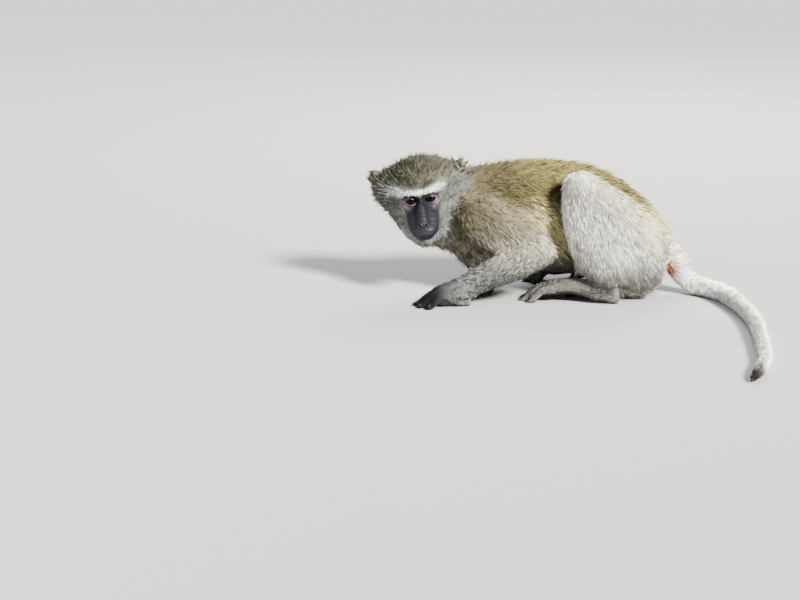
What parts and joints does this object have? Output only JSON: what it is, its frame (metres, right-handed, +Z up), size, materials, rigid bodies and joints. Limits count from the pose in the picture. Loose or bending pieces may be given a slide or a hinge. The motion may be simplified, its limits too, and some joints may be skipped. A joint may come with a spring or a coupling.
{
  "type": "vervet monkey",
  "caption": "Life-size still model of an adult male vervet monkey, crouched on all fours with its face turned to its left side and its tail laid on the floor.",
  "frame": {"origin": "on the floor, under the middle of the box round the whole animal, tail included", "axes": "+X from the head end towards the rump, along the body; +Y towards the animal's right side, away from where the face looks; +Z up, square to the floor"},
  "size_m": [0.5286, 0.6864, 0.202],
  "materials": {
    "crown_coat": "short dense grizzled olive-grey fur",
    "back_coat": "dense grizzled olive-yellow fur",
    "flank_coat": "dense grizzled grey-olive fur",
    "grey_coat": "short grey fur",
    "pale_coat": "pale grey-white fur",
    "dark_skin": "matt charcoal skin",
    "eye": "moist dark brown eye"
  },
  "bodies": {
    "root": {"head": "crown_coat", "neck": "flank_coat", "trunk": "back_coat", "ear_left": "dark_skin", "ear_right": "dark_skin", "eye_left": "eye", "eye_right": "eye", "upper_arm_left": "flank_coat", "upper_arm_right": "flank_coat", "forearm_left": "grey_coat", "forearm_right": "grey_coat", "hand_left": "dark_skin", "hand_right": "dark_skin", "thigh_left": "pale_coat", "thigh_right": "pale_coat", "shank_left": "pale_coat", "shank_right": "pale_coat", "foot_left": "grey_coat", "foot_right": "grey_coat", "tail_base": "pale_coat", "tail_middle": "pale_coat", "tail_end": "grey_coat"}
  },
  "joints": []
}
